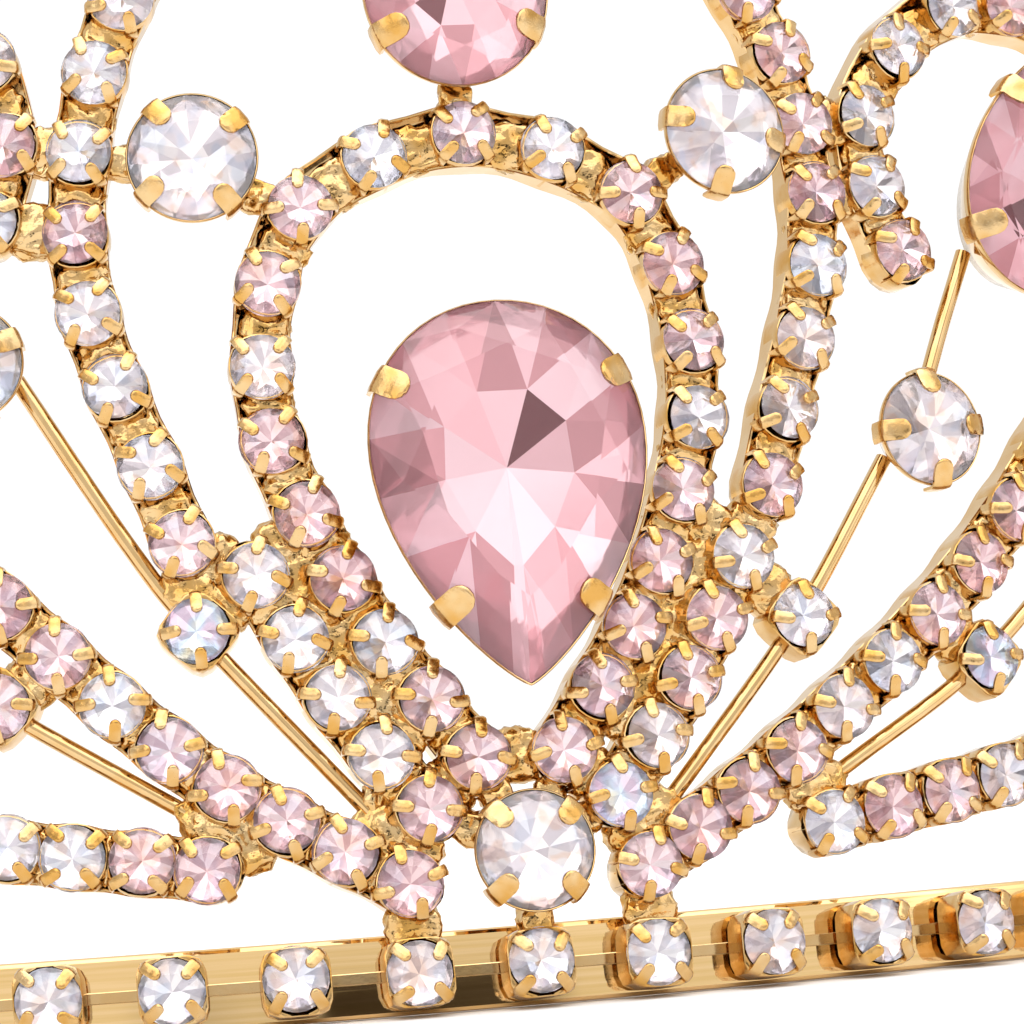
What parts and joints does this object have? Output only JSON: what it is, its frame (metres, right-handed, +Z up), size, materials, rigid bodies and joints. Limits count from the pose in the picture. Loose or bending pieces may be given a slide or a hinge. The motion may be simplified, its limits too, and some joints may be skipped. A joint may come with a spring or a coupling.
{
  "type": "tiara",
  "caption": "Gold tiara: a crest of small stones in soldered cups, with pear and round stones on wires, on a narrow horseshoe headband.",
  "frame": {"origin": "on the surface that the band rests on, under the middle of the whole box", "axes": "+Z up, -Y out of the crest's front, +X to the viewer's right along the band"},
  "size_m": [0.1532, 0.1061, 0.0649],
  "materials": {
    "gold": "bright gold plate, polished",
    "stone_rows": "pale pink and clear cut stones in gold-plated cups",
    "pink_stone": "pale rose foiled glass, cut",
    "clear_stone": "clear foiled glass, cut"
  },
  "bodies": {
    "root": {"headband": "gold", "base_row": "stone_rows", "inner_arch": "stone_rows", "outer_arch": "stone_rows", "inner_row_left": "stone_rows", "inner_row_right": "stone_rows", "side_arch_left": "stone_rows", "side_arch_right": "stone_rows", "ray_left": "stone_rows", "ray_right": "stone_rows", "low_row_left": "stone_rows", "low_row_right": "stone_rows", "stem_left": "gold", "stem_right": "gold", "stem_link_right": "gold", "low_stem_left": "gold", "low_stem_right": "gold", "centre_pear": "pink_stone", "centre_pear_setting": "gold", "top_pear": "pink_stone", "top_pear_setting": "gold", "side_pear_left": "pink_stone", "side_pear_left_setting": "gold", "side_pear_right": "pink_stone", "side_pear_right_setting": "gold", "shoulder_round_left": "clear_stone", "shoulder_round_left_setting": "gold", "shoulder_round_right": "clear_stone", "shoulder_round_right_setting": "gold", "base_round": "clear_stone", "base_round_setting": "gold", "stem_round_left": "clear_stone", "stem_round_left_setting": "gold", "stem_round_right": "clear_stone", "stem_round_right_setting": "gold", "low_stem_round_left": "clear_stone", "low_stem_round_left_setting": "gold", "low_stem_round_right": "clear_stone", "low_stem_round_right_setting": "gold"}
  },
  "joints": []
}
